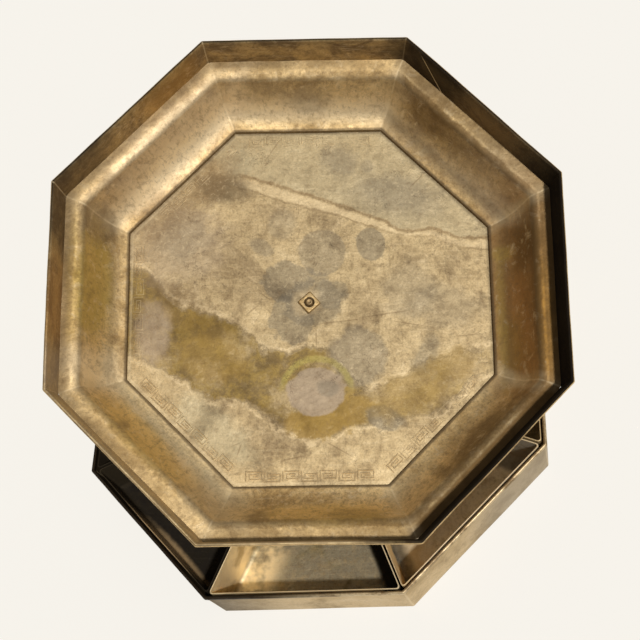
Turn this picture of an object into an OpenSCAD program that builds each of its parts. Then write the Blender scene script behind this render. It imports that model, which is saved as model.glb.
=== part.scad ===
// Eight-sided brass box with lift-out dishes. Its lid lies upside down on top,
// leaning on its own knob, so that the inside of the lid serves as a tray.
// Origin: centre of the box's underside. +Z up, two opposite flats face +X and -X.

/* [Box] */
// Width of the box across the flats of its rim
box_flats = 293.4; // [250:0.1:330]
// Height of the box, underside to rim
box_h = 38; // [32:1:60]
// How far each wall leans in from the rim to the underside
box_draft = 0.9; // [0:0.1:1.2]
// Thickness of the sheet of the walls and the lid
sheet = 0.9; // [0.8:0.1:1.2]
// Width of the half-round band round the box's rim
rim_band_w = 2; // [1.5:0.1:3]
// Height of the half-round band round the box's rim
rim_band_h = 3; // [2:0.1:5]

/* [Dishes] */
// Thickness of the sheet of the dishes
dish_sheet = 0.7; // [0.5:0.1:1]
// Gap between one dish and the next
dish_gap = 1.2; // [0.8:0.1:3]
// Gap between the dishes and the foot of the box's wall
wall_gap = 0.6; // [0.4:0.1:2]
// How far the dishes stop below the rim
dish_drop = 1.5; // [0.5:0.1:4]
// Width of the centre dish across its flats
centre_flats = 76; // [50:1:100]

/* [Lid] */
// Width of the lid across the flats of its rim
lid_flats = 300; // [260:1:340]
// Depth of the lid, from the inside of its panel to the edge of its rim
lid_h = 60; // [50:1:75]
// Depth of the lid, from the inside of its panel to its ledge
ledge_depth = 35.9; // [30:0.1:42]
// Width of the ledge
ledge_w = 8.4; // [6:0.1:12]
// Width of the flat panel across its flats
panel_flats = 226.8; // [200:0.1:250]
// Height of the step round the panel
panel_step = 2.9; // [1.5:0.1:5]
// Width of the gently sloping shelf next to the panel
shelf_w = 7.5; // [4:0.5:9]
// Radius of the hollow curve between the shelf and the steep part of the cove
hollow_r = 8; // [5:0.5:9]
// Radius of the cove's round curve next to the ledge
round_r = 5; // [3:0.5:8]

/* [Lid at rest] */
// Lean of the lid lying on the box
lean = 20.4; // [15:0.1:21]
// Direction of the lean, as an angle from +X towards -Y
lean_dir = 48.4; // [40:0.1:55]
// Turn of the lid about its own axis
lid_turn = 0.6; // [-2:0.1:2]
// Place of the lid's centre along X
lid_x = 8.2; // [4:0.1:12]
// Place of the lid's centre along Y
lid_y = 27.3; // [24:0.1:30]
// Height of the lid's centre over the tops of the dishes
lid_up = 40.8; // [40.8:0.1:44]

/* [Knob] */
// Height of the knob with its rose
knob_h = 41.5; // [36:0.5:42]
// Largest diameter of the knob
knob_d = 25; // [18:1:30]
// Diameter of the rose under the knob
rose_d = 36; // [26:1:44]
// Diameter of the threaded stud
stud_d = 5.4; // [4:0.1:6]
// Width of the square nut
nut_w = 10.3; // [9:0.1:12]
// Thickness of the square nut
nut_h = 3; // [2:0.1:5]
// Angle of the square nut on the panel
nut_turn = 41; // [0:1:89]

/* [Hidden] */

sides = 8;
half_side = 180 / sides;
fit = 0.1;                  // radial play of the stud in its holes
lift = 0.3;                 // play under the dishes

// the box, as distances from its axis to the outside of a flat
band_flat = box_flats / 2;
wall_top = band_flat - rim_band_w / 2;
wall_foot = wall_top - box_draft;
floor_h = 1.2;

// the dishes
dish_z = floor_h + lift;
dish_h = box_h - dish_drop - dish_z;
dish_top = dish_z + dish_h;
dish_out = wall_foot - sheet - wall_gap;
centre_flat = centre_flats / 2;
dish_in = centre_flat + dish_gap;

// the lid, in its own frame: +Z points out of its mouth, 0 is the inside of its panel
mouth_flat = lid_flats / 2;
hem = 2;                    // width and height of the band at the mouth
crease = mouth_flat - hem - 1.2;
panel_flat = panel_flats / 2;
shelf_slope = 17;           // slopes of the cove, from the panel to the ledge
cove_slope = 71;
ledge_slope = 5;
knee = crease - ledge_w;
lid_z = dish_top + lid_up;

brass = "#b08d4f";
dark_brass = "#8a6d3b";
pale_brass = "#c9ad74";

// ---- shapes that repeat ----

// An eight-sided ring with flats on the axes, from a profile of [distance to flat, z].
module eight_sided(profile)
    rotate([0, 0, half_side])
        rotate_extrude($fn = sides)
            polygon([for (p = profile) [p[0] / cos(half_side), p[1]]]);

// An eight-sided plate, by its distance from axis to flat.
module eight_plate(flat, h)
    rotate([0, 0, half_side])
        cylinder(r = flat / cos(half_side), h = h, $fn = sides);

// Puts its children on the lid as it lies on the box.
module on_lid()
    translate([lid_x, lid_y, lid_z])
        rotate([0, 0, -lean_dir])
            rotate([0, lean, 0])
                rotate([0, 0, lean_dir + lid_turn])
                    children();

// One eighth of the ring between two flats, with its edges moved in by inset.
function wedge(inset) =
    let (
        r0 = dish_in + inset,
        r1 = dish_out - inset,
        side = (dish_gap / 2 + inset) / cos(half_side),
        y0 = r0 * tan(half_side) - side,
        y1 = r1 * tan(half_side) - side
    )
    [[r0, -y0], [r1, -y1], [r1, y1], [r0, y0]];

// An open dish from a wedge, at the given eighth of the box.
module side_dish(eighth)
    color(pale_brass)
        rotate([0, 0, eighth * 2 * half_side])
            translate([0, 0, dish_z])
                difference() {
                    linear_extrude(dish_h) polygon(wedge(0));
                    translate([0, 0, dish_sheet])
                        linear_extrude(dish_h) polygon(wedge(dish_sheet));
                }

// The cove's inner surface as [distance to flat, z, slope], from the panel outwards.
function arc(from, r, a0, a1, steps, way) =
    [for (i = [1:steps])
        let (a = a0 + (a1 - a0) * i / steps)
        [from[0] + way * r * (sin(a) - sin(a0)), from[1] + way * r * (cos(a0) - cos(a)), a]];

cove_foot = [panel_flat + sheet, panel_step, shelf_slope];
shelf_end = [cove_foot[0] + shelf_w, panel_step + shelf_w * tan(shelf_slope), shelf_slope];
cove_hollow = arc(shelf_end, hollow_r, shelf_slope, cove_slope, 6, 1);
cove_top = [knee, ledge_depth - ledge_w * tan(ledge_slope)];
round_start = [
    cove_top[0] - round_r * (sin(cove_slope) - sin(ledge_slope)),
    cove_top[1] - round_r * (cos(ledge_slope) - cos(cove_slope)),
    cove_slope
];
cove_round = arc(round_start, round_r, cove_slope, ledge_slope, 5, -1);
cove_line = concat([cove_foot, shelf_end], cove_hollow, [round_start], cove_round,
                   [[crease, ledge_depth, 0]]);

// The cove's outer surface: the same line moved through the sheet, from the ledge inwards.
cove_under = [
    for (i = [len(cove_line) - 1:-1:0])
        let (p = cove_line[i])
        [p[0] + sheet * sin(p[2]), p[1] - sheet * cos(p[2])]
];

// ---- the box ----

module box_floor()
    color(dark_brass)
        eight_plate(wall_foot - sheet, floor_h);

module box_wall()
    color(brass)
        eight_sided([
            [wall_foot - sheet, 0], [wall_foot, 0],
            [wall_top, box_h - 0.4], [wall_top - sheet, box_h - 0.4]
        ]);

// Half-round band soldered round the outside of the rim and turned over its edge.
module box_rim_band()
    color(pale_brass)
        eight_sided([
            [wall_top, box_h - rim_band_h], [band_flat - 0.3, box_h - rim_band_h],
            [band_flat, box_h - rim_band_h + 0.6], [band_flat, box_h - 0.7],
            [band_flat - 0.4, box_h - 0.1], [band_flat - 0.9, box_h],
            [wall_top - sheet, box_h], [wall_top - sheet, box_h - 0.4],
            [wall_top, box_h - 0.4]
        ]);

// ---- the dishes ----

module centre_dish()
    color(pale_brass)
        translate([0, 0, dish_z])
            difference() {
                eight_plate(centre_flat, dish_h);
                translate([0, 0, dish_sheet])
                    eight_plate(centre_flat - dish_sheet, dish_h);
            }

// ---- the lid ----

module lid_panel()
    color(pale_brass)
        on_lid()
            difference() {
                translate([0, 0, -sheet]) eight_plate(panel_flat, sheet);
                translate([0, 0, -2 * sheet])
                    cylinder(d = stud_d + 2 * fit, h = 3 * sheet, $fn = 48);
            }

// The cove with the lip that stands round the panel.
module lid_cove()
    color(brass)
        on_lid()
            eight_sided(concat(
                [[panel_flat, -sheet], [panel_flat, panel_step]],
                cove_line, cove_under,
                [[panel_flat + sheet, -sheet]]
            ));

module lid_rim_wall()
    color(dark_brass)
        on_lid()
            eight_sided([
                [crease, ledge_depth - sheet], [crease + sheet, ledge_depth - sheet],
                [mouth_flat - hem + sheet, lid_h - 0.4], [mouth_flat - hem, lid_h - 0.4],
                [crease, ledge_depth]
            ]);

// Band turned over the mouth of the lid.
module lid_rim_band()
    color(pale_brass)
        on_lid()
            eight_sided([
                [mouth_flat - hem + sheet, lid_h - hem], [mouth_flat - 0.3, lid_h - hem],
                [mouth_flat, lid_h - hem + 0.4], [mouth_flat, lid_h - 0.6],
                [mouth_flat - 0.5, lid_h], [mouth_flat - hem, lid_h],
                [mouth_flat - hem, lid_h - 0.4], [mouth_flat - hem + sheet, lid_h - 0.4]
            ]);

// ---- the knob, in the lid's frame: it points down, out of the top of the lid ----

rose_h = 5;
stud_deep = 20;             // how far the stud reaches into the knob
stud_proud = 1.2;           // how far the stud stands out of the nut
neck_r = 5.2;
belly = [knob_d / 2, 9.5];  // half width and half height of the knob's belly
tip_r = 5.5;                // radius of the ball on the knob's end
waist_r = 3.6;

module knob_stud()
    color(dark_brass)
        on_lid()
            translate([0, 0, -sheet - rose_h - stud_deep])
                cylinder(d = stud_d, h = stud_deep + rose_h + sheet + nut_h + stud_proud, $fn = 48);

module square_nut()
    color(brass)
        on_lid()
            rotate([0, 0, nut_turn])
                difference() {
                    translate([-nut_w / 2, -nut_w / 2, 0]) cube([nut_w, nut_w, nut_h]);
                    translate([0, 0, -1])
                        cylinder(d = stud_d + 2 * fit, h = nut_h + 2, $fn = 48);
                }

module knob_rose()
    color(brass)
        on_lid()
            translate([0, 0, -sheet])
                mirror([0, 0, 1])
                    rotate_extrude($fn = 72)
                        polygon([
                            [stud_d / 2 + fit, 0], [rose_d / 2, 0], [rose_d / 2, 0.8],
                            [rose_d / 2 - 1.5, 2], [rose_d / 3, 3], [neck_r + 3, rose_h],
                            [stud_d / 2 + fit, rose_h]
                        ]);

// Outline of the knob from its foot to its tip, as [radius, height above the rose].
knob_len = knob_h - rose_h;
belly_z = 4 + belly[1];
tip_z = knob_len - tip_r;
knob_line = [
    [neck_r + 2, 0], [neck_r + 2, 1], [neck_r, 2.5],
    for (a = [-66:12:78]) [belly[0] * cos(a), belly_z + belly[1] * sin(a)],
    [waist_r, belly_z + belly[1] + 1],
    for (a = [-45:15:90]) [tip_r * cos(a), tip_z + tip_r * sin(a)]
];

module knob()
    color(brass)
        on_lid()
            translate([0, 0, -sheet - rose_h])
                mirror([0, 0, 1])
                    difference() {
                        rotate_extrude($fn = 72)
                            polygon(concat([[0, 0]], knob_line));
                        translate([0, 0, -1])
                            cylinder(d = stud_d + 2 * fit, h = stud_deep + 1.5, $fn = 48);
                    }

box_floor();
box_wall();
box_rim_band();
centre_dish();
side_dish(0);  // side_dish_1
side_dish(1);  // side_dish_2
side_dish(2);  // side_dish_3
side_dish(3);  // side_dish_4
side_dish(4);  // side_dish_5
side_dish(5);  // side_dish_6
side_dish(6);  // side_dish_7
side_dish(7);  // side_dish_8
lid_panel();
lid_cove();
lid_rim_wall();
lid_rim_band();
knob_stud();
square_nut();
knob_rose();
knob();
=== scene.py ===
"""Looks of an eight-sided brass box: its lift-out dishes, and its lid lying upturned on top as a tray."""
import math

import bpy
import numpy as np
from mathutils import Matrix, Vector, noise


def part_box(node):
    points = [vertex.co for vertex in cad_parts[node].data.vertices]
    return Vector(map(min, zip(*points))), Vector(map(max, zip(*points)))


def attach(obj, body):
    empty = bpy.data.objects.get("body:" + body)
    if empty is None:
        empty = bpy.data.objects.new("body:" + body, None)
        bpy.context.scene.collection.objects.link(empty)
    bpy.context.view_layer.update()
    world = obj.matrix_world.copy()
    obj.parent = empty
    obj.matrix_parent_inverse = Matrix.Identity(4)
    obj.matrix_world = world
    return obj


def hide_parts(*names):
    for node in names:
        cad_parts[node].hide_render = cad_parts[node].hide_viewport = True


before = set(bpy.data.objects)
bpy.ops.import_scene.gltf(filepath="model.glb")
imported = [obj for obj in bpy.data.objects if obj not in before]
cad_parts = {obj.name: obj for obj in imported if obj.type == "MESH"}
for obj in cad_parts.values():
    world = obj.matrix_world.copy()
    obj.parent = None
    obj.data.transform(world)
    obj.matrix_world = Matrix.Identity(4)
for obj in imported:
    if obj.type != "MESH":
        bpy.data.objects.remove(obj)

noise.seed_set(1)  # without it noise_vector starts from the clock, and every run bends the sheet differently

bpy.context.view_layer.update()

MM = 0.001
SIDES = 8
TURN = 2 * math.pi / SIDES
HALF = TURN / 2
SIDE_DEGREES = 360 / SIDES
SQUARE = (-1, -1), (1, -1), (1, 1), (-1, 1)


# ---------------------------------------------------------------- the frame's sizes, in millimetres

def vertices(node):
    return np.array([v.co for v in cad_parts[node].data.vertices], float) / MM


def flat_distance(points):
    """How far each point is from the axis of an octagon with flats on the axes, measured to its flat."""
    turns = [k * TURN for k in range(SIDES)]
    return np.max([points[:, 0] * math.cos(a) + points[:, 1] * math.sin(a) for a in turns], axis=0)


def lid_place():
    """The lid's own frame: +Z out of its mouth, 0 on the inside of its panel, +X to the flat nearest +X."""
    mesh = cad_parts["lid_panel"].data
    up = sum((f.normal * f.area for f in mesh.polygons if f.normal.z > 0.8), Vector()).normalized()
    points = vertices("lid_panel")
    height = points @ np.array(up)
    top = points[height > height.max() - 0.1]
    centre = (top.max(axis=0) + top.min(axis=0)) / 2
    reach = np.linalg.norm(top - centre, axis=1)
    corners = top[reach > reach.max() * 0.9]
    middles = [(a + b) / 2 for a in corners for b in corners
               if 0.5 * reach.max() < np.linalg.norm(a - b) < reach.max()]
    flat = max(middles, key=lambda m: m[0]) - centre
    x = Vector(flat).normalized()
    turn = Matrix((x, up.cross(x), up)).transposed()
    return Matrix.Translation(Vector(centre * MM)) @ turn.to_4x4()


LID = lid_place()


def lid_reach(node):
    """Least and greatest flat distance, and least and greatest height, of a node in the lid's frame."""
    back = np.array(LID.inverted())
    points = vertices(node) * MM @ back[:3, :3].T + back[:3, 3]
    flats, heights = flat_distance(points / MM), points[:, 2] / MM
    return flats.min(), flats.max(), heights.min(), heights.max()


_, PANEL_FLAT, PANEL_BOTTOM, _ = lid_reach("lid_panel")
_, MOUTH, _, LID_H = lid_reach("lid_rim_band")
CREASE, _, LEDGE_BOTTOM, _ = lid_reach("lid_rim_wall")
SHEET = -PANEL_BOTTOM
LEDGE = LEDGE_BOTTOM + SHEET
NUT_TOP = lid_reach("square_nut")[3]
STUD_TOP = lid_reach("knob_stud")[3]
KNOB_END = lid_reach("knob")[2]
ROSE_END = lid_reach("knob_rose")[2]

RIM_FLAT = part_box("box_rim_band")[1].x / MM
BOX_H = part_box("box_rim_band")[1].z / MM
BAND_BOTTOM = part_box("box_rim_band")[0].z / MM
WALL_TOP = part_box("box_wall")[1].x / MM
WALL_FOOT = flat_distance(vertices("box_wall")[vertices("box_wall")[:, 2] < 1]).max()
DISH_IN, DISH_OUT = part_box("side_dish_1")[0].x / MM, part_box("side_dish_1")[1].x / MM
DISH_FOOT, DISH_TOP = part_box("side_dish_1")[0].z / MM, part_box("side_dish_1")[1].z / MM
DISH_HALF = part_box("side_dish_1")[1].y / MM
CENTRE_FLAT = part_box("centre_dish")[1].x / MM

LIP_H = 2.9  # height of the cove's lip round the panel
STUD_R = 2.7
NUT_TURN = 41  # how the nut is turned on its stud, in degrees
SIDE_CUTS = 16  # pieces that each side of an octagon is cut into, so that it can bend


# ---------------------------------------------------------------- mesh tools, in millimetres

def octagon(flat):
    """Corners of an octagon with its flats on the axes."""
    r = flat / math.cos(HALF)
    return [(r * math.cos(HALF + k * TURN), r * math.sin(HALF + k * TURN)) for k in range(SIDES)]


def outline(corners, inset=0.0, radius=1.0, cuts=12, arc=4):
    """Points round a convex polygon moved in by inset, with rounded corners and cut sides."""
    n = len(corners)
    lines = []
    for i in range(n):
        a, b = Vector(corners[i]), Vector(corners[(i + 1) % n])
        along = (b - a).normalized()
        inward = Vector((-along.y, along.x))
        lines.append((a + inward * inset, along))
    points = []
    for i in range(n):
        (p, d), (q, e) = lines[i - 1], lines[i]
        s = (q - p).cross(e) / d.cross(e)
        corner = p + d * s
        turn = math.acos(max(-1, min(1, d.dot(e))))
        back = radius * math.tan(turn / 2)
        centre = corner - d * back + Vector((-d.y, d.x)) * radius
        first = corner - d * back - centre
        start = math.atan2(first.y, first.x)
        angles = [start + turn * j / arc for j in range(arc + 1)]
        points.append([centre + Vector((math.cos(a), math.sin(a))) * radius for a in angles])
    ring = []
    for i in range(n):
        ring += points[i]
        a, b = points[i][-1], points[(i + 1) % n][0]
        ring += [a.lerp(b, j / cuts) for j in range(1, cuts)]
    return ring


def lift(ring, z):
    return [Vector((p.x, p.y, z)) for p in ring]


def shrink(ring, share):
    centre = sum(ring, Vector((0, 0, 0))) / len(ring)
    return [centre.lerp(p, share) for p in ring]


def skin(name, rings, closed=False):
    """A closed mesh through rings of equal length; open ends are closed with a fan."""
    n = len(rings[0])
    points = [p for ring in rings for p in ring]
    faces = []
    last = len(rings) if closed else len(rings) - 1
    for r in range(last):
        a, b = r * n, (r + 1) % len(rings) * n
        faces += [(a + i, a + (i + 1) % n, b + (i + 1) % n, b + i) for i in range(n)]
    if not closed:
        for r, flip in ((0, True), (len(rings) - 1, False)):
            centre = sum(rings[r], Vector((0, 0, 0))) / n
            points.append(centre)
            c, a = len(points) - 1, r * n
            fan = [(a + i, a + (i + 1) % n, c) for i in range(n)]
            faces += [f[::-1] for f in fan] if flip else fan
    return new_mesh(name, points, faces)


def strip(name, section, radius, grow=0.0):
    """A strip round the octagon through (flat, z) points; its corners get rounder by grow as z rises."""
    rings = [lift(outline(octagon(flat), 0, radius + grow * max(0, z), SIDE_CUTS), z) for flat, z in section]
    return skin(name, rings, closed=True)


def new_object(name, data):
    made = bpy.data.objects.new(name, data)
    bpy.context.scene.collection.objects.link(made)
    return made


def new_mesh(name, points, faces):
    mesh = bpy.data.meshes.new(name)
    mesh.from_pydata([tuple(p) for p in points], [], faces)
    return new_object(name, mesh)


def wobble(seed, wide=0.3, fine=0.08):
    """The unevenness of hand-worked sheet: a smooth shift of each point, the same on both faces."""
    shift = Vector((seed * 17.3, seed * 7.9, seed * 3.1))

    def move(p):
        return (noise.noise_vector(p / 48 + shift) * wide
                + noise.noise_vector(p / 15 + shift * 2) * fine)
    return move


def finish_piece(piece, body, material, nodes, place=None, move=None, sharp=50):
    """Turns a mesh in millimetres into a piece: unevenness, outward faces, smooth shading, place, body."""
    mesh = piece.data
    if move is not None:
        for v in mesh.vertices:
            v.co += move(v.co.copy())
    mesh.transform(Matrix.Scale(MM, 4))
    if place is not None:
        mesh.transform(place)
    mesh.validate()
    if signed_volume(mesh) < 0:
        mesh.flip_normals()
    mesh.shade_smooth()
    mesh.set_sharp_from_angle(angle=math.radians(sharp))
    even = piece.modifiers.new("even_normals", "WEIGHTED_NORMAL")
    even.keep_sharp = True
    mesh.materials.append(material)
    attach(piece, body)
    if nodes:
        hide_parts(*nodes)


def signed_volume(mesh):
    total = 0.0
    for f in mesh.polygons:
        co = [mesh.vertices[i].co for i in f.vertices]
        total += sum(co[0].dot(co[i].cross(co[i + 1])) for i in range(1, len(co) - 1))
    return total


# ---------------------------------------------------------------- material tools

BOWL_REACH = 75.0  # distance from the axis at which a 45 degree slope counts as neither inside nor outside
ANY_HEIGHT = 1000  # half height of a stain: it is the same at all heights


def on_side(side, along, flat):
    """A place on the side towards an azimuth, along it from its middle and out from the axis, as (x, y)."""
    a = math.radians(side)
    return flat * math.cos(a) - along * math.sin(a), flat * math.sin(a) + along * math.cos(a)


class Recipe:
    """A material's node tree, built layer by layer. Its places are in millimetres, in the frame given."""

    def __init__(self, name, seed=0.0, frame_place=None):
        self.material = bpy.data.materials.new(name)
        self.material.use_nodes = True
        self.tree = self.material.node_tree
        self.tree.nodes.clear()
        self.seed = seed
        source = self.node("TexCoord")
        place, self.normal = source.outputs["Object"], source.outputs["Normal"]
        if frame_place is not None:
            spot, turn = frame_place.to_translation(), frame_place.to_euler()
            place = self.mapped(place, Location=spot, Rotation=turn)
            self.normal = self.mapped(self.normal, Rotation=turn)
        self.place = self.vector("SCALE", place, scale=1 / MM)

    def node(self, kind, settings=None, **inputs):
        """A new node with its settings and inputs; i0 stands for its first input, i1 for the second."""
        made = self.tree.nodes.new("ShaderNode" + kind)
        for key, value in (settings or {}).items():
            setattr(made, key, value)
        for key, value in inputs.items():
            self.put(made.inputs[int(key[1:]) if key[0] == "i" and key[1:].isdigit() else key], value)
        return made

    def mapped(self, vector, **inputs):
        return self.node("Mapping", {"vector_type": "TEXTURE"}, Vector=vector, **inputs).outputs[0]

    def put(self, socket, value):
        if isinstance(value, bpy.types.NodeSocket):
            self.tree.links.new(value, socket)
        else:
            socket.default_value = value

    def vector(self, operation, a, b=(0, 0, 0), scale=1.0):
        made = self.node("VectorMath", {"operation": operation}, i0=a)
        if operation == "SCALE":
            self.put(made.inputs["Scale"], scale)
        elif operation != "LENGTH":
            self.put(made.inputs[1], b)
        return made.outputs["Value" if operation in ("LENGTH", "DOT_PRODUCT") else "Vector"]

    def math(self, operation, a, b=0.0):
        return self.node("Math", {"operation": operation}, i0=a, i1=b).outputs[0]

    def times(self, a, b):
        return self.math("MULTIPLY", a, b)

    def plus(self, a, b):
        return self.math("ADD", a, b)

    def minus(self, a, b):
        return self.math("SUBTRACT", a, b)

    def mix(self, share, a, b):
        a, b = (c if isinstance(c, bpy.types.NodeSocket) else (*c, 1) for c in (a, b))
        settings = {"data_type": "RGBA", "clamp_factor": True}
        return self.node("Mix", settings, i0=share, i6=a, i7=b).outputs[2]

    def blend(self, share, a, b):
        settings = {"data_type": "FLOAT", "clamp_factor": True}
        return self.node("Mix", settings, i0=share, i2=a, i3=b).outputs[0]

    def noise(self, size, detail=4.0, roughness=0.55, stretch=(1, 1, 1), distortion=0.0):
        """Noise with features of about size millimetres."""
        self.seed += 1.37
        moved = self.vector("ADD", self.place, (self.seed * 31, self.seed * 53, self.seed * 11))
        moved = self.vector("MULTIPLY", moved, stretch)
        return self.node("TexNoise", {"noise_dimensions": "3D"}, Vector=moved, Scale=1 / size, Detail=detail,
                         Roughness=roughness, Distortion=distortion).outputs[0]

    def step(self, value, low, high):
        """0 below low, 1 above high (or the other way round), smooth between."""
        return self.node("MapRange", {"interpolation_type": "SMOOTHSTEP", "clamp": True}, Value=value,
                         **{"From Min": low, "From Max": high}).outputs[0]

    def near(self, value, centre, far, close):
        """1 where a value is within close of a centre, 0 where it is further off than far."""
        return self.step(self.math("ABSOLUTE", self.minus(value, centre)), far, close)

    def lay(self, tint, *shares):
        """Lays a tint over the colour so far, as thick as the product of the shares."""
        share = shares[0]
        for other in shares[1:]:
            share = self.times(share, other)
        self.colour = self.mix(share, self.colour, tint)

    def blot(self, ragged, x, y, wide, high, edge=0.15, lean=0.0, ragged_by=0.6):
        """1 inside a ragged round stain at (x, y), 0 outside; wide and high are its half sizes."""
        own = self.mapped(self.place, Location=(x, y, 0), Rotation=(0, 0, math.radians(lean)),
                          Scale=(wide, high, ANY_HEIGHT))
        reach = self.vector("LENGTH", own)
        pull = self.times(self.minus(ragged, 0.5), 2 * ragged_by)
        return self.step(self.plus(reach, pull), 1 + edge, 1 - edge)

    def curve(self, along, points, reach=120.0):
        """A drawn line: height in millimetres at the place along, through (along, height) points."""
        made = self.node("FloatCurve", Value=self.math("DIVIDE", self.plus(along, reach), 2 * reach))
        line = made.mapping.curves[0]
        ends = [(-reach, points[0][1])] + list(points) + [(reach, points[-1][1])]
        while len(line.points) < len(ends):
            line.points.new(0.5, 0.5)
        for spot, (x, y) in zip(line.points, ends):
            spot.location = ((x + reach) / (2 * reach), (y + reach) / (2 * reach))
        made.mapping.update()
        return self.minus(self.times(made.outputs[0], 2 * reach), reach)

    def toward(self, azimuth):
        """How far a place lies from the axis towards an azimuth, in millimetres."""
        a = math.radians(azimuth)
        return self.vector("DOT_PRODUCT", self.place, (math.cos(a), math.sin(a), 0))

    def reach(self, centre=(0, 0)):
        """How far a place lies from an upright line through the centre, in millimetres."""
        moved = self.vector("SUBTRACT", self.place, (*centre, 0))
        return self.vector("LENGTH", self.vector("MULTIPLY", moved, (1, 1, 0)))

    def height(self):
        return self.node("SeparateXYZ", Vector=self.place).outputs[2]

    def facing(self, azimuth, low, high):
        """How far a place lies towards an azimuth, as a step between two shares of its flat distance."""
        return self.step(self.math("DIVIDE", self.toward(azimuth), self.octagon()[0]), low, high)

    def outside(self):
        """1 on the outside and underside of a bowl about the axis, 0 on its inside."""
        radial = self.vector("DOT_PRODUCT", self.normal, self.vector("MULTIPLY", self.place, (1, 1, 0)))
        upward = self.node("SeparateXYZ", Vector=self.normal).outputs[2]
        outward = self.minus(radial, self.times(upward, BOWL_REACH))
        return self.step(outward, -12, 12)

    def by_side(self, amounts):
        """An amount set for each side of the octagon, from +X round."""
        flat = self.octagon()[0]
        total = 0.0
        for k, amount in enumerate(amounts):
            along = self.toward(k * SIDE_DEGREES)
            here = self.step(self.math("DIVIDE", along, flat), 0.965, 0.995)
            total = self.math("MAXIMUM", self.times(here, amount), total)
        return total

    def octagon(self):
        """(distance to flat, distance to the nearest mitre) of the octagon with flats on the axes."""
        parts = self.node("SeparateXYZ", Vector=self.place)
        x, y = self.math("ABSOLUTE", parts.outputs[0]), self.math("ABSOLUTE", parts.outputs[1])
        long, short = self.math("MAXIMUM", x, y), self.math("MINIMUM", x, y)
        slant = self.times(self.plus(x, y), math.sqrt(0.5))
        flat = self.math("MAXIMUM", long, slant)
        across = self.minus(self.times(long, math.sin(HALF)), self.times(short, math.cos(HALF)))
        return flat, self.math("ABSOLUTE", across)

    def age(self, clean, tarnish, share, size, depth=1.0, rough=0.6, worn=1.0):
        """The colour of worn brass, with tarnish, grain, scratches and pits; gives (roughness, bumps)."""
        clouds = self.noise(size, 7, 0.68, distortion=0.6)
        patches = self.noise(size * 0.32, 7, 0.72, distortion=0.3)
        grain = self.noise(1.3, 4, 0.7)
        speck = self.noise(3.0, 5, 0.75)
        brush = self.noise(1.8, 4, 0.65, stretch=(0.10, 1.0, 1.0))
        cross = self.noise(1.5, 4, 0.65, stretch=(1.0, 0.12, 1.0))
        cover = self.step(clouds, 0.66 - share * 0.5, 0.78 - share * 0.3)
        self.colour = self.mix(cover, clean, tarnish)
        for noisy, low, high, amount, tint in (
                (patches, 0.50, 0.64, 0.36, BROWN), (patches, 0.46, 0.32, 0.30, BRIGHT),
                (speck, 0.50, 0.70, 0.40, UMBER), (brush, 0.54, 0.68, 0.30, BRIGHT),
                (cross, 0.55, 0.70, 0.30, BROWN), (grain, 0.48, 0.66, 0.30, UMBER),
                (speck, 0.27, 0.20, 0.70, DARK)):
            self.lay(tint, self.step(noisy, low, high), amount * worn)
        roughness = self.blend(cover, rough - 0.05, rough + 0.08)
        roughness = self.plus(roughness, self.times(self.minus(patches, 0.5), 0.35))
        bumps = [(self.noise(22, 4, 0.55), 0.9 * depth), (self.noise(7, 4, 0.6), 0.30 * depth),
                 (self.noise(2.6, 4, 0.65), 0.12 * depth), (brush, 0.05 * depth), (grain, 0.05 * depth)]
        return roughness, bumps

    def plain_outside(self):
        """Gives the outside of the lid an even old finish, without the stains of its inside."""
        inside = self.colour
        self.age(*BACK_METAL, 0.45, 30)
        self.colour = self.mix(self.outside(), inside, self.colour)

    def stain(self, ragged, stains):
        """Lays stains and painted light and shade: (tint, amount, x, y, half width, half height, edge, lean,
        ragged).
        """
        for tint, amount, *shape in stains:
            self.lay(tint, self.blot(ragged, *shape), amount)

    def stain_sides(self, ragged, sides):
        """Lays (tint, amount, along, flat, half length, half width, edge, ragged) stains and painted light
        and shade; sides are (azimuth, stains) pairs."""
        self.stain(ragged, [(tint, amount, *on_side(side, along, flat), long, wide, edge, side + 90, rag)
                            for side, stains in sides
                            for tint, amount, along, flat, long, wide, edge, rag in stains])

    def done(self, metallic, roughness, bumps, specular=0.5):
        """The finished material; bumps are (height, how deep in millimetres) pairs, the finest last."""
        shader = self.node("BsdfPrincipled", Metallic=metallic, Roughness=roughness,
                           **{"Base Color": self.colour, "Specular IOR Level": specular})
        under = shader
        for height, depth in reversed(bumps):
            made = self.node("Bump", Height=height, Strength=1.0, Distance=depth * MM)
            self.put(under.inputs["Normal"], made.outputs[0])
            under = made
        self.node("OutputMaterial", Surface=shader.outputs[0])
        return self.material


# colours are linear; the amounts below are shares from 0 to 1, and the places and sizes are millimetres
PALE = (0.66, 0.53, 0.325)
GOLD = (0.55, 0.395, 0.185)
OCHRE = (0.37, 0.245, 0.07)
OLIVE = (0.31, 0.265, 0.15)
BROWN = (0.24, 0.16, 0.08)
UMBER = (0.115, 0.078, 0.042)
SEPIA = (0.15, 0.085, 0.028)
DARK = (0.022, 0.015, 0.010)
GREY = (0.27, 0.23, 0.17)
SLATE = (0.20, 0.175, 0.135)
MAUVE = (0.44, 0.35, 0.25)
SAGE = (0.47, 0.43, 0.30)
BRIGHT = (0.84, 0.70, 0.46)
SHADE_AND_SOOT_BLACK = (0.008, 0.006, 0.005)
AMBER = (0.62, 0.34, 0.07)
RUST = (0.50, 0.27, 0.09)
HONEY = (0.84, 0.60, 0.21)
HAZE = (0.78, 0.64, 0.46)
HIGHLIGHT_CREAM = (0.96, 0.80, 0.53)
TEAK = (0.36, 0.19, 0.065)
MOSS = (0.60, 0.44, 0.12)
LIME = (0.50, 0.43, 0.13)
STRAW = (0.80, 0.60, 0.31)
SHADE = (0.34, 0.29, 0.22)
WARM = (0.74, 0.55, 0.27)
GLOW = (1.0, 0.84, 0.54)
SOFT_GLOW = (0.80, 0.62, 0.33)
LIT_DIVIDER = (0.92, 0.68, 0.36)
STREAK = (0.55, 0.39, 0.21)
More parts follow.
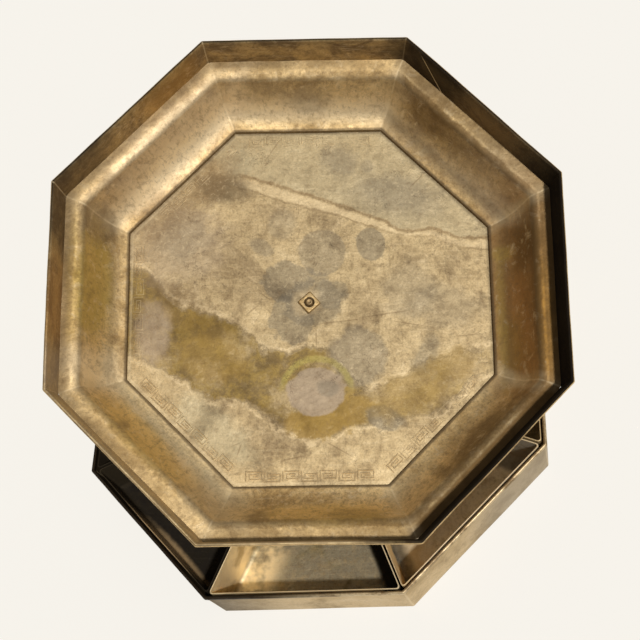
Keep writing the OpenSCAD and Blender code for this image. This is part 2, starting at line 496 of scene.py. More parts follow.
OCHRES = (0.20, 0.135, 0.05), (0.34, 0.235, 0.065)
# the clean and the tarnished metal of each part
COVE_METAL = (0.90, 0.675, 0.345), (0.56, 0.385, 0.165)
PANEL_METAL = (0.61, 0.482, 0.28), (0.48, 0.372, 0.22)
BACK_METAL = (0.66, 0.49, 0.25), (0.38, 0.26, 0.12)
BOX_METAL = (0.62, 0.47, 0.26), (0.44, 0.33, 0.18)
FITTING_METAL = (0.52, 0.38, 0.19), GOLD


# stains and painted light in the hollow round the panel, as stain_sides() takes them: the cream bands low in
# the hollow and at the end of the side towards 180 degrees, and the bright line on the round towards 135
# degrees, are painted highlights; the pale patches by the mitres and the pale band on the ledge towards 45
# degrees are painted sheen; the dark band on the ledge towards 315 degrees is painted shadow; the rest are
# stains
COVE_STAINS_AND_SHADING = (
    (0, ((TEAK, 0.80, 0, 130, 76, 22, 0.4, 0.3), (AMBER, 0.90, -20, 140.5, 38, 4.6, 0.5, 0.7),
         (RUST, 0.55, -22, 130.5, 36, 8, 0.6, 0.8), (SEPIA, 0.65, 32, 133, 18, 8, 0.6, 0.8),
         (MOSS, 0.55, 28, 121, 5, 6, 0.5, 0.6), (OCHRE, 0.50, -34, 124, 20, 6, 0.6, 0.9),
         (SEPIA, 0.55, 0, 136.5, 46, 3.6, 0.7, 0.9), (MOSS, 0.45, -14, 119, 40, 3, 0.6, 0.9),
         (PALE, 0.60, 53, 127, 4, 12, 0.6, 0.4), (PALE, 0.35, -54, 124, 4, 12, 0.6, 0.4))),
    (225, ((HIGHLIGHT_CREAM, 0.50, 0, 125.5, 54, 5, 0.8, 0.7),)),
    (45, ((HIGHLIGHT_CREAM, 0.50, -26, 125, 30, 5, 0.8, 0.7), (PALE, 0.60, -30, 142, 28, 6, 0.6, 0.6),
          (MAUVE, 0.45, -28, 129.5, 30, 9, 0.6, 0.6), (SEPIA, 0.66, 26, 133, 34, 6.0, 0.7, 0.8),
          (MAUVE, 0.35, 30, 122, 26, 6, 0.6, 0.8), (BROWN, 0.45, 34, 143, 26, 5, 0.6, 0.8),
          (PALE, 0.45, -5, 129, 1.5, 1.6, 0.4, 0.3))),
    (90, ((SAGE, 0.20, 0, 130, 56, 18, 0.5, 0.6), (PALE, 0.55, -46, 123, 12, 10, 0.6, 0.7),
          (PALE, 0.40, 36, 128, 22, 8, 0.7, 0.8), (HIGHLIGHT_CREAM, 0.75, 2, 125, 54, 5.4, 0.8, 0.7),
          (SEPIA, 0.28, 10, 132.8, 32, 3.6, 0.7, 0.9), (GREY, 0.35, -2, 127.5, 12, 4, 0.5, 0.8))),
    (135, ((HAZE, 0.55, -4, 130, 56, 16, 0.5, 0.6), (MAUVE, 0.30, -22, 130, 34, 8, 0.6, 0.8),
           (BROWN, 0.40, 32, 130.5, 26, 7, 0.7, 0.9), (HIGHLIGHT_CREAM, 0.95, -4, 125.5, 54, 5.8, 0.8, 0.7),
           (BRIGHT, 0.50, -5, 137.3, 54, 2.2, 0.7, 0.7))),
    (180, ((UMBER, 0.55, -46, 130, 13, 8, 0.5, 0.8), (MOSS, 0.80, -6, 131, 34, 8, 0.35, 0.8),
           (MOSS, 0.45, -12, 141, 36, 4, 0.5, 0.8), (HIGHLIGHT_CREAM, 0.75, 44, 129, 13, 16, 0.6, 0.7))),
    (225, ((HONEY, 0.70, -10, 131, 38, 7.5, 0.5, 0.8), (PALE, 0.45, 42, 128, 14, 16, 0.6, 0.7),
           (SAGE, 0.40, 0, 118, 50, 4.5, 0.6, 0.8), (BROWN, 0.45, -22, 133.5, 4, 2.4, 0.4, 0.8))),
    (270, ((HONEY, 0.60, 8, 131.5, 38, 6.5, 0.5, 0.8), (PALE, 0.40, -46, 128, 12, 14, 0.6, 0.7),
           (BROWN, 0.50, -30, 133, 6, 4, 0.5, 0.9), (OCHRE, 0.40, 26, 132.5, 16, 4, 0.6, 0.9))),
    (315, ((SEPIA, 0.65, 10, 132.6, 30, 4.6, 0.6, 0.8), (PALE, 0.40, -42, 128, 14, 12, 0.6, 0.8),
           (UMBER, 0.40, -22, 130, 4, 7, 0.6, 0.8), (DARK, 0.70, 6, 145, 62, 6.5, 0.6, 0.3),
           (PALE, 0.60, 51, 125, 4, 13, 0.6, 0.4), (BROWN, 0.25, 8, 128, 18, 5, 0.6, 0.9))),
)

# how thick the sepia layer is on each side, from +X round: partly a dull film and partly painted shade
SHELF_FILM_AND_SHADE = (0.34, 0.46, 0.18, 0.10, 0.42, 0.08, 0.08, 0.18)
SHOULDER_FILM_AND_SHADE = (0.72, 0.76, 0.30, 0.18, 0.44, 0.30, 0.46, 0.68)
LEDGE_FILM_AND_SHADE = (0.80, 0.50, 0.12, 0.12, 0.46, 0.28, 0.38, 0.92)


def cove_material():
    r = Recipe("cove_brass", 3, LID)
    roughness, bumps = r.age(*COVE_METAL, 0.46, 34, 0.9, 0.64, 0.9)
    ragged = r.noise(20, 6, 0.68)
    flat, mitre = r.octagon()
    ledge = r.step(flat, CREASE - 8.0, CREASE - 5.5)
    r.lay(STRAW, ledge, 0.5)
    # stains, with painted highlights, sheen and shadow among them
    r.stain_sides(ragged, COVE_STAINS_AND_SHADING)
    # dark flecks with pale ones between, and short dark streaks
    fleck = r.noise(8.0, 8, 0.74, distortion=0.5)
    r.lay(BROWN, r.step(fleck, 0.50, 0.66), 0.34)
    r.lay(BRIGHT, r.step(fleck, 0.47, 0.34), 0.48)
    streak = r.noise(2.2, 5, 0.7, stretch=(1.0, 1.0, 0.22))
    r.lay(BROWN, r.step(streak, 0.50, 0.66), 0.36)
    # dull films and painted shade: on the floor of the hollow, round the shoulder and on the ledge, unlike
    # from side to side
    uneven = r.times(r.minus(ragged, 0.5), 6)
    shelf = r.step(r.plus(r.height(), uneven), 10.5, 5.5)
    shoulder = r.near(r.plus(flat, uneven), CREASE - 9.6, 3.4, 1.2)
    for place, amounts in ((shelf, SHELF_FILM_AND_SHADE), (shoulder, SHOULDER_FILM_AND_SHADE), (ledge, LEDGE_FILM_AND_SHADE)):
        r.lay(SEPIA, place, r.by_side(amounts))
    # the mitres: a soft pale painted sheen, with a bright painted highlight line along each
    r.lay(PALE, r.step(mitre, 7, 0.5), r.step(r.noise(14, 3), 0.30, 0.62), 0.42)
    r.lay(BRIGHT, r.step(mitre, 0.9, 0.1), r.step(r.noise(9, 3), 0.35, 0.55), 0.35)
    # darker at the foot of the lip all round; painted shade in the crease, a little all round and more
    # towards 150 degrees
    r.lay(UMBER, r.step(flat, PANEL_FLAT + 2.2, PANEL_FLAT + 0.9), 0.72)
    crease = r.step(r.plus(flat, r.times(ragged, 4)), CREASE - 5.5, CREASE + 0.5)
    r.lay(UMBER, crease, r.plus(0.15, r.times(r.facing(150, 0.2, 0.8), 0.4)))
    bumps.insert(2, (fleck, 0.16))
    r.plain_outside()
    return r.done(0.86, roughness, bumps)


# edges of the marks on the panel, as (x, y) points in the lid's frame
TIDE_LINE = ((-60, 84), (-45, 85), (-27, 80), (-3, 72), (22, 63), (38, 57), (48, 53), (55, 48), (65, 46),
             (80, 47), (92, 42), (110, 41))
TIDE_FOOT = ((-60, 78), (-45, 77), (-20, 68), (-3, 63), (22, 56), (35, 51), (47, 47), (60, 43), (77, 42),
             (92, 36), (110, 33))
OCHRE_TOP = ((-104, 24), (-95, 12), (-85, 3), (-62, -6), (-45, -15), (-36, -22), (-30, -29), (-16, -31),
             (0, -30), (14, -34), (24, -46), (40, -54), (56, -48), (74, -38), (95, -33), (110, -30))
OCHRE_FOOT = ((-104, -34), (-95, -40), (-78, -46), (-70, -56), (-50, -60), (-40, -62), (-25, -72),
              (-10, -78), (0, -84), (12, -82), (24, -76), (40, -74), (60, -72), (78, -68), (95, -54),
              (110, -44))
# stains on the panel, as stain() takes them
PANEL_STAINS = (
    (MAUVE, 0.50, -83, 40, 28, 26, 0.4, 20, 0.8), (GREY, 0.30, -80, 44, 16, 14, 0.4, 20, 0.9),
    (UMBER, 0.62, -55, 77, 17, 9, 0.5, -15, 0.8), (SAGE, 0.45, -50, 99, 15, 11, 0.4, -30, 0.7),
    (GREY, 0.50, 56, 70, 27, 13, 0.5, -12, 0.7), (GREY, 0.45, 20, 94, 11, 10, 0.4, 0, 0.8),
    (GREY, 0.30, 38, 90, 4, 4, 0.3, 0, 0.5), (MAUVE, 0.75, -98, -16, 11, 20, 0.3, 0, 0.6),
    (SLATE, 0.50, -14, 14, 16, 13, 0.07, 0, 0.60), (SLATE, 0.46, -11, -11, 14, 16, 0.07, 15, 0.55),
    (SLATE, 0.40, 2, 1, 19, 16, 0.10, 25, 0.6), (SLATE, 0.38, 13, 6, 11, 9, 0.12, 0, 0.7),
    (PALE, 0.55, -2, 1, 9, 8, 0.3, 30, 0.8), (GREY, 0.44, 8, 33, 15, 15, 0.05, 0, 0.22),
    (SLATE, 0.52, 39, 38, 9, 11, 0.06, 10, 0.22), (GREY, 0.40, -30, 37, 8, 5, 0.2, -30, 0.5),
    (GREY, 0.28, -17, 52, 9, 10, 0.2, 0, 0.4), (GREY, 0.30, 63, 8, 17, 17, 0.3, 0, 0.7),
    (GREY, 0.30, 84, -4, 22, 14, 0.4, 0, 0.9), (GREY, 0.55, 30, -35, 17, 19, 0.14, -20, 0.5),
    (OCHRE, 0.75, 27, -68, 14, 11, 0.2, 0, 0.8), (OCHRE, 0.80, 3, -76, 22, 9, 0.15, 0, 0.8),
    (OCHRE, 0.55, -62, -34, 22, 14, 0.3, -20, 0.8), (MAUVE, 0.92, 4, -56, 18, 15, 0.06, 0, 0.25),
    (GREY, 0.55, 11, -54, 8, 5, 0.2, 0, 0.5), (SLATE, 0.60, 45, -73, 13, 7, 0.15, -10, 0.7),
    (SLATE, 0.40, 72, -34, 7, 13, 0.3, -30, 0.8), (OCHRE, 0.45, 88, -40, 13, 10, 0.3, 0, 0.8),
    (SAGE, 0.45, -60, -78, 30, 12, 0.4, -38, 0.7), (BROWN, 0.48, -74, 74, 44, 12, 0.6, 45, 0.8),
    (BROWN, 0.35, -84, 6, 16, 8, 0.4, -20, 0.8), (OCHRE, 0.50, 62, -58, 24, 13, 0.4, 20, 0.9),
    (OCHRE, 0.35, -68, -14, 26, 8, 0.4, -30, 0.9),
)
# scratches and short cracks, as (x, y, half length, lean)
PANEL_SCRATCHES = ((70, 80, 7, 45), (-36, -4, 4.5, 38), (-22, 103, 9, 55), (-28, 5, 4, -35), (4, -23, 6, 90),
                   (20, -12, 14, 6), (45, -8, 16, 8), (-46, -88, 3, 20), (-44, -92, 4, 70), (98, -22, 8, 5),
                   (-40, 14, 4, 30), (18, -92, 9, -30), (-12, -97, 7, 12), (62, -14, 12, -10))


def lay_ochre_band(r, ragged, x, y):
    """The ochre band, weaker towards +X, with a dark torn edge and a pale crust; gives where it lies."""
    torn = r.plus(y, r.times(r.minus(ragged, 0.5), 22.0))
    inside = r.math("MINIMUM", r.minus(r.curve(x, OCHRE_TOP), torn), r.minus(torn, r.curve(x, OCHRE_FOOT)))
    strength = r.plus(r.times(r.step(r.noise(26, 5, 0.6), 0.36, 0.56), 0.58), 0.30)
    strength = r.times(strength, r.minus(1.0, r.times(r.step(x, 20, 45), 0.35)))
    band = r.times(r.step(inside, -1.5, 3.0), strength)
    r.lay(r.mix(r.step(r.noise(9, 6, 0.7), 0.4, 0.6), *OCHRES), band)
    r.lay(UMBER, r.near(inside, 0, 1.6, 0.2), 0.30)
    r.lay(BRIGHT, r.near(inside, -3.2, 1.6, 0.3), r.step(ragged, 0.42, 0.56), 0.5)
    return band


def lay_tide_line(r, x, level):
    """The tide line with its pale strip, and the grey-green metal above it."""
    high, low = r.minus(level, r.curve(x, TIDE_LINE)), r.minus(level, r.curve(x, TIDE_FOOT))
    there = r.step(x, -58, -40)
    r.lay(SAGE, r.step(high, 0, 2), there, 0.38)
    r.lay(BRIGHT, r.step(low, 0, 1.5), r.step(high, -0.5, -3), there, 0.38)
    r.lay(BROWN, r.near(high, 0, 1.8, 0.2), r.step(x, -52, -40), 0.55)
    r.lay(BROWN, r.near(low, 0, 1.2, 0.2), r.step(r.noise(19, 2), 0.42, 0.6), there, 0.4)


def lay_panel_edge(r):
    """A painted highlight inside the panel's edge towards 200 degrees, and painted shade at the foot of the
    lip towards 65 degrees.
    """
    flat = r.octagon()[0]
    r.lay(BRIGHT, r.near(flat, PANEL_FLAT - 1.4, 1.2, 0.3), r.facing(200, -0.8, 0.7), 0.28)
    r.lay(UMBER, r.step(flat, PANEL_FLAT - 2.4, PANEL_FLAT - 0.2), r.facing(65, -0.4, 0.7), 0.50)


ARC_CENTRE, ARC_R = (4, -57), 21.5  # the yellow-green arc above the pale blot


def panel_material(name, polish):
    """The panel's old lacquer, stains and tide line; polish is how bright the raised lines are worn."""
    r = Recipe(name, 11, LID)
    roughness, bumps = r.age(*PANEL_METAL, 0.34, 40, 0.9, 0.72, 0.8)
    ragged = r.noise(13, 7, 0.66)
    fine_edge = r.times(r.minus(r.noise(5, 5, 0.65), 0.5), 5.0)
    parts = r.node("SeparateXYZ", Vector=r.place)
    x, y = parts.outputs[0], parts.outputs[1]
    band = lay_ochre_band(r, ragged, x, y)
    lay_tide_line(r, x, r.plus(y, fine_edge))
    r.stain(ragged, PANEL_STAINS)
    for sx, sy, long, lean in PANEL_SCRATCHES:
        r.lay(BROWN, r.blot(ragged, sx, sy, long, 0.40, 0.6, lean, 0.5), 0.45)
    arc = r.plus(r.reach(ARC_CENTRE), r.times(fine_edge, 0.6))
    r.lay(LIME, r.near(arc, ARC_R, 3.0, 0.8), r.step(y, -58, -48), 0.5)
    # fine cracks in the lacquer
    crack = r.near(r.noise(17, 6, 0.6), 0.5, 0.007, 0.001)
    r.lay(UMBER, crack, r.step(r.noise(40, 2), 0.50, 0.62), 0.55)
    lay_panel_edge(r)
    # crinkled lacquer, duller in the ochre band
    crinkle = r.noise(3.4, 8, 0.74, distortion=0.5)
    r.lay(BROWN, r.step(crinkle, 0.53, 0.63), 0.28)
    r.lay(BRIGHT, r.step(crinkle, 0.46, 0.37), r.minus(0.26, r.times(band, 0.22)))
    r.lay(BRIGHT, polish)
    bumps.insert(2, (crinkle, 0.15))
    r.plain_outside()
    return r.done(0.86, roughness, bumps)


# stains and painted light over the whole height of the rim: (tint, amount, along, half length, edge, ragged)
# by azimuth; the dark ones towards 45 degrees are painted shade, the pale ones towards 225 and 270 degrees
# painted light, the rest stains
RIM_MIDDLE, RIM_BREADTH = 148, 12
RIM_STAINS_AND_SHADING = (
    (45, ((UMBER, 0.60, 0, 70, 0.5, 0.4), (DARK, 0.75, 40, 26, 0.5, 0.8), (BROWN, 0.50, -14, 20, 0.7, 0.8))),
    (135, ((UMBER, 0.65, 42, 20, 0.6, 0.9), (AMBER, 0.35, -30, 24, 0.6, 0.8))),
    (180, ((UMBER, 0.65, -44, 18, 0.6, 0.8), (RUST, 0.45, 10, 26, 0.7, 0.8),
           (MAUVE, 0.60, 48, 14, 0.6, 0.6))),
    (225, ((PALE, 0.55, 0, 56, 0.6, 0.6),)),
    (270, ((PALE, 0.60, -14, 48, 0.4, 0.5),)),
)
LIGHT_LINE_AT, LIGHT_LINE_H, LIGHT_LINE_RUN = 49.5, 58, -0.95  # the long painted line of light: its place at a height, its slant


def rim_material():
    r = Recipe("rim_brass", 21, LID)
    roughness, bumps = r.age(GOLD, BROWN, 0.55, 22, 1.0, 0.66, 1.0)
    flat, mitre = r.octagon()
    ragged = r.noise(18, 6, 0.68)
    for side, stains in RIM_STAINS_AND_SHADING:
        r.stain_sides(ragged, [(side, [(tint, amount, along, RIM_MIDDLE, long, RIM_BREADTH, edge, rag)
                                       for tint, amount, along, long, edge, rag in stains])])
    # painted shade: black on the sides towards +X and -Y, round the back of the hem towards 70 degrees and
    # along its edge
    painted_dark = r.times(r.facing(-22, 0.45, 0.80), 0.98)
    hem = r.times(r.step(flat, MOUTH - 2.6, MOUTH - 0.9), r.facing(70, -0.75, 0.2))
    edge = r.times(r.step(flat, MOUTH - 1.1, MOUTH - 0.5), 0.75)
    painted_dark = r.math("MAXIMUM", r.math("MAXIMUM", painted_dark, r.times(hem, 0.95)), edge)
    r.lay(SHADE_AND_SOOT_BLACK, painted_dark)
    # a painted highlight along the top of the hem, on the sides towards -52 degrees
    lit_hem_edge = r.times(r.step(flat, MOUTH - 0.45, MOUTH - 0.25), r.facing(-52, 0.72, 0.90))
    r.lay(BRIGHT, lit_hem_edge, 0.85)
    # a painted highlight down the mitres on the sides towards 135 degrees
    r.lay(BRIGHT, r.step(mitre, 0.6, 0.2), r.facing(135, 0.2, 0.7), 0.35)
    # a long painted line of light, where the light grazes the face, down the inside towards +X +Y
    line = r.plus(r.toward(135), r.times(r.minus(r.height(), LIGHT_LINE_H), LIGHT_LINE_RUN))
    below_hem = r.step(flat, MOUTH - 2.0, MOUTH - 2.3)
    r.lay(BRIGHT, r.near(line, LIGHT_LINE_AT, 0.7, 0.2), r.facing(45, 0.90, 0.97), below_hem)
    matt = r.times(painted_dark, r.minus(1.0, r.math("MAXIMUM", lit_hem_edge, r.outside())))
    r.plain_outside()
    return r.done(r.blend(matt, 0.9, 0.0), r.blend(matt, roughness, 0.95), bumps, specular=0.08)


def box_material():
    r = Recipe("box_brass", 31)
    roughness, bumps = r.age(*BOX_METAL, 0.45, 40, 0.6, 0.60, 0.6)
    r.lay(GOLD, r.step(r.height(), BOX_H * 0.45, BAND_BOTTOM), 0.45)
    # painted shade: darker towards -22 degrees, and much darker on the side towards 200 degrees
    r.lay(SHADE, r.facing(-22, 0.86, 0.99), 0.60)
    r.lay(DARK, r.facing(200, 0.35, 0.85), 0.85)
    r.lay(BRIGHT, r.step(r.octagon()[1], 0.9, 0.2), 0.4)
    return r.done(0.88, roughness, bumps)


def band_material():
    r = Recipe("band_brass", 41)
    roughness, bumps = r.age(PALE, BROWN, 0.40, 16, 0.6, 0.55)
    # painted shade on the side towards 220 degrees
    r.lay(DARK, r.facing(220, 0.42, 0.85), 0.95)
    return r.done(0.9, roughness, bumps)


# how dark each dish is painted, from +X round and the middle one last; the fifth and sixth are near black,
# painted shade where the lid's shadow falls
DISH_DARKENING = (0.2, 0.2, 0.3, 0.4, 0.92, 0.95, 0.0, 0.0, 0.3)
# the two dishes that show most from in front: one with an olive floor, a strong painted glow and a strong
# painted shadow; one painted light all over, standing in for light where the lid's shadow falls
SUNLIT_DISH, LIGHTENED_DISH = 7, 8
DISH_METAL = {SUNLIT_DISH: ((0.40, 0.35, 0.245), OLIVE), LIGHTENED_DISH: ((0.98, 0.90, 0.74), (0.72, 0.62, 0.45))}
STREAKED = 6  # the dish with a painted streak of light down its outer side


def lay_dividers(r, number, side):
    """Painted shadow along one radial side of a dish and a painted glow along the other; gives the painted
    shadow.
    """
    near = r.toward(SIDE_DEGREES * (number - 0.5) - 90)
    far = r.toward(SIDE_DEGREES * (number - 1.5) + 90)
    uneven = r.times(r.noise(14, 4, 0.6), 6)
    tint, amount = (GLOW, 0.95) if number == SUNLIT_DISH else (SOFT_GLOW, 0.55)
    r.lay(tint, r.step(r.plus(far, uneven), 34, 16), r.step(r.noise(16, 3), 0.35, 0.6), amount)
    if number == LIGHTENED_DISH:
        # a painted lit face on the divider, and painted shade in the floor's corner beside it
        end = r.step(r.plus(far, uneven), 15, 8)
        r.lay(LIT_DIVIDER, end, side)
        r.lay(SHADE_AND_SOOT_BLACK, end, r.minus(1.0, side), 0.75)
    divider_shadow = r.times(r.step(r.plus(near, uneven), 17, 12), 0.94 if number == SUNLIT_DISH else 0.6)
    r.lay(SHADE_AND_SOOT_BLACK, divider_shadow)
    return divider_shadow


def dish_material(number):
    r = Recipe(f"dish_brass_{number}", 50 + 7 * number)
    light, dark = DISH_METAL.get(number, (GREY, OLIVE))
    roughness, bumps = r.age(light, dark, 0.35, 24, 0.9, 0.68, 0.4 if number == LIGHTENED_DISH else 0.8)
    height = r.height()
    side = r.step(r.plus(height, r.times(r.noise(9, 5, 0.7), 12)), DISH_FOOT + 6.0, DISH_FOOT + 12.0)
    r.lay(WARM, side, 0.15 if number == LIGHTENED_DISH else 0.75)
    divider_shadow = lay_dividers(r, number, side) if number <= SIDES else 0.0
    # painted darkness: near black in the fifth and sixth dishes as painted shade
    painted_dark = DISH_DARKENING[number - 1]
    r.lay(SHADE_AND_SOOT_BLACK, painted_dark)
    if number == STREAKED:
        streak = r.blot(r.noise(9, 5, 0.6), *on_side(225, 9, RIM_FLAT - 4.0), 22, 2.4, 0.9, 315, 0.6)
        r.lay(STREAK, streak, 0.80)
    # the worn top edge, less bright where the dish is painted dark, and left off the outer edge towards 210
    # degrees, which lies in shade
    edge = r.times(r.step(height, DISH_TOP - 1.0, DISH_TOP - 0.2), 0.8 * (1 - painted_dark) ** 2)
    outer = r.times(r.step(r.octagon()[0], DISH_OUT - 3, DISH_OUT - 1), r.facing(210, 0.5, 0.85))
    r.lay(BRIGHT, edge, r.minus(1.0, outer))
    matt = r.math("MAXIMUM", divider_shadow, 0.85 * painted_dark)
    return r.done(r.blend(matt, 0.86, 0.2), r.blend(matt, roughness, 0.9), bumps, specular=0.15)


def fitting_material():
    r = Recipe("fitting_brass", 71, LID)
    roughness, bumps = r.age(*FITTING_METAL, 0.5, 7, 0.4, 0.6, 0.9)
    reach = r.reach()
    r.lay(UMBER, r.step(reach, STUD_R + 0.9, STUD_R + 0.3), r.step(reach, 1.0, 1.7), 0.7)
    r.lay(BROWN, r.step(reach, 1.7, 1.0), 0.6)
    return r.done(0.94, roughness, bumps)


def knob_material():
    r = Recipe("knob_brass", 81, LID)
    roughness, bumps = r.age(GOLD, BROWN, 0.35, 9)
    return r.done(0.96, r.times(roughness, 0.8), bumps)


# ---------------------------------------------------------------- the lid

LID_WOBBLE = wobble(1, 0.34, 0.16)


def bezier(a, b, c, d, steps):
    """Points with slopes along a smooth bend of a sheet's section, as (flat, z, slope in degrees)."""
    points = []
    for i in range(1, steps + 1):
        t = i / steps
        u = 1 - t
        spot = [u ** 3 * p + 3 * u * u * t * q + 3 * u * t * t * r + t ** 3 * s
                for p, q, r, s in zip(a, b, c, d)]
        way = [u * u * (q - p) + 2 * u * t * (r - q) + t * t * (s - r) for p, q, r, s in zip(a, b, c, d)]
        points.append((spot[0], spot[1], math.degrees(math.atan2(way[1], way[0]))))
    return points


def cove_line():
    """The cove's inner surface from the lip round the panel to the crease, as (flat, z, slope)."""
    lip = [(PANEL_FLAT + 0.05, -0.05, 86), (PANEL_FLAT + 0.1, LIP_H * 0.5, 86),
           (PANEL_FLAT + 0.25, LIP_H - 0.5, 80), (PANEL_FLAT + 0.5, LIP_H - 0.12, 45)]
    foot = (PANEL_FLAT + 0.9, LIP_H)
    hollow_a, hollow_b = (foot[0] + 13.2, foot[1] + 2.9), (foot[0] + 15.0, foot[1] + 12.4)
    knee = (CREASE - 12.4, LEDGE - 4.2)
    round_a, round_b = (CREASE - 11.7, LEDGE - 1.6), (CREASE - 9.0, LEDGE - 0.75)
    ledge = (CREASE - 5.2, LEDGE - 0.35)
    return (lip + bezier(foot, hollow_a, hollow_b, knee, 22) + bezier(knee, round_a, round_b, ledge, 12)
            + [(CREASE - 3.4, LEDGE - 0.22, 3.5), (CREASE - 1.2, LEDGE - 0.05, 3), (CREASE, LEDGE, 0)])


def make_cove():
    line = cove_line()
    under = [(p[0] + SHEET * math.sin(math.radians(p[2])), p[1] - SHEET * math.cos(math.radians(p[2])))
             for p in reversed(line[3:])]
    section = [(p[0], p[1]) for p in line] + under
    section += [(PANEL_FLAT + SHEET, -SHEET * 0.7), (PANEL_FLAT + SHEET * 0.7, -SHEET), (PANEL_FLAT, -SHEET)]
    piece = strip("cove", section, 1.5, 0.08)
    finish_piece(piece, "lid", COVE, ["lid_cove"], LID, LID_WOBBLE)


def make_rim_wall():
    top = LID_H - 1.0
    inner = MOUTH - 2.0
    section = [(CREASE, LEDGE - SHEET), (CREASE, LEDGE), (CREASE + 0.15, LEDGE + 1.5)]
    section += [(CREASE + (inner - CREASE) * s, LEDGE + (top - LEDGE) * s) for s in (0.25, 0.5, 0.75, 1)]
    outer = [(flat + SHEET, z) for flat, z in reversed(section[2:])]
    section += outer + [(CREASE + SHEET, LEDGE), (CREASE + SHEET * 0.8, LEDGE - SHEET)]
    piece = strip("rim_wall", section, 1.4)
    finish_piece(piece, "lid", RIM, ["lid_rim_wall"], LID, LID_WOBBLE)


def bead(outer, inner, top, bottom, steps=7):
    """Section of a turned edge: flat inside, round over the top and outside."""
    r = (outer - inner) / 2
    mid = (outer + inner) / 2
    low = bottom + r * 0.8
    high = top - r
    over = [(mid - r * math.cos(a), high + r * math.sin(a))
            for a in (math.pi * i / steps for i in range(steps + 1))]
    return [(inner, bottom)] + over + [(outer, low), (outer - 0.35 * r, bottom + 0.25 * r), (mid, bottom)]


BEAD_W, BEAD_ROUND = 2.1, 1.8  # width of the turned edges, and the radius of their corners


def make_rim_band():
    piece = strip("rim_hem", bead(MOUTH, MOUTH - BEAD_W, LID_H, LID_H - 2.4), BEAD_ROUND)
    finish_piece(piece, "lid", RIM, ["lid_rim_band"], LID, LID_WOBBLE)


def panel_sag(x, y):
    """Height of the panel's worn surface: broad waves, and a dimple drawn down by the nut."""
    r = math.hypot(x, y)
    waves = noise.noise(Vector((x / 42, y / 42, 5))) * 0.35 + noise.noise(Vector((x / 17, y / 17, 9))) * 0.12
    hold = min(1, max(0, (PANEL_FLAT - 6 - flat_distance(np.array([[x, y]]))[0]) / 20))
    return waves * hold * min(1, r / 20) - 0.45 * math.exp(-(r / 9.5) ** 2)


PANEL_RINGS = 40  # rings of points between the hole and the edge of the panel
HOLE_R = STUD_R + 0.1


def make_panel():
    edge = outline(octagon(PANEL_FLAT), 0, 0.8, SIDE_CUTS)
    tops, unders = [], []
    for i in range(PANEL_RINGS + 1):
        ring = [(p.normalized() * HOLE_R).lerp(p, i / PANEL_RINGS) for p in edge]
        tops.append([Vector((q.x, q.y, panel_sag(q.x, q.y))) for q in ring])
        unders.append([Vector((q.x, q.y, panel_sag(q.x, q.y) - SHEET)) for q in ring])
    piece = skin("panel", tops + unders[::-1], closed=True)
    finish_piece(piece, "lid", PANEL, ["lid_panel"], LID, LID_WOBBLE)


# the border of square scrolls: one hook is a path in units of its cell, from 0 to 1 each way
HOOK = ((0.0, 0.0), (0.0, 1.0), (0.85, 1.0), (0.85, 0.27), (0.19, 0.27), (0.19, 0.72), (0.64, 0.72),
        (0.64, 0.50), (0.38, 0.50))
KEY_OUTER, KEY_INNER = PANEL_FLAT - 2.8, PANEL_FLAT - 8.9
KEY_CELL = 11.3
KEY_SUNK = 0.12  # how far the feet of the raised lines are sunk in the panel
KEY_LEFT = (0.05, -0.10, 0.35, -0.20, 0.65, 0.85, 0.95, 0.60)  # how much is left on each side, from +X round


def key_paths():
    """The hooks of the border, upright and upturned by turns, as (points, how much is left) pairs."""
    paths = []
    height = KEY_OUTER - KEY_INNER
    cells = int((2 * KEY_INNER * math.tan(HALF) - 4) / KEY_CELL)
    for side in range(SIDES):
        out = Vector((math.cos(side * TURN), math.sin(side * TURN)))
        along = Vector((-out.y, out.x))
        for c in range(cells):
            start = (c - cells / 2) * KEY_CELL
            hook = [out * (KEY_INNER + height * (hy if c % 2 else 1 - hy)) + along * (start + KEY_CELL * hx)
                    for hx, hy in HOOK]
            paths.append((hook, KEY_LEFT[side]))
    return paths


def ridge(path, step=0.9):
    """Places along a path with square turns, each with the direction across it, longer at the mitres."""
    sections = []
    for i in range(len(path) - 1):
        a, b = path[i], path[i + 1]
        d = (b - a).normalized()
        side = Vector((-d.y, d.x))
        after = (path[i + 2] - path[i + 1]).normalized() if i + 2 < len(path) else d
        steps = max(2, round((b - a).length / step))
        for j in range(steps + 1):
            if i and j == 0:
                continue
            p = a.lerp(b, j / steps)
            turn = side
            if j == steps:
                turn = side + Vector((-after.y, after.x))
                turn = turn / max(0.5, turn.dot(side))
            sections.append((p, turn))
    return sections


def make_border(name, face, height, width):
    """The scroll border raised on one face of the panel; worn away in places."""
    points, faces = [], []
    for path, left in key_paths():
        first = len(points)
        sections = ridge(path)
        for p, side in sections:
            wear = noise.noise(Vector((p.x / 21, p.y / 21, 3.3)))
            wear += 0.35 * noise.noise(Vector((p.x / 4, p.y / 4, 1)))
            tall = height * min(1, max(-0.5, left + 1.6 * wear))
            base = panel_sag(p.x, p.y) - (0 if face > 0 else SHEET)
            for share, z in ((-1, -KEY_SUNK), (-0.45, tall), (0.45, tall), (1, -KEY_SUNK)):
                q = p + side * (share * width / 2)
                points.append(Vector((q.x, q.y, base + face * z)))
        n = len(sections)
        for s in range(n - 1):
            a, b = first + 4 * s, first + 4 * s + 4
            faces += [(a + i, a + (i + 1) % 4, b + (i + 1) % 4, b + i) for i in range(4)]
        faces += [(first + 3, first + 2, first + 1, first),
                  tuple(first + 4 * (n - 1) + i for i in range(4))]
    piece = new_mesh(name, points, faces)
    finish_piece(piece, "lid", BORDER, [], LID, LID_WOBBLE, sharp=70)


# ---------------------------------------------------------------- knob and fittings

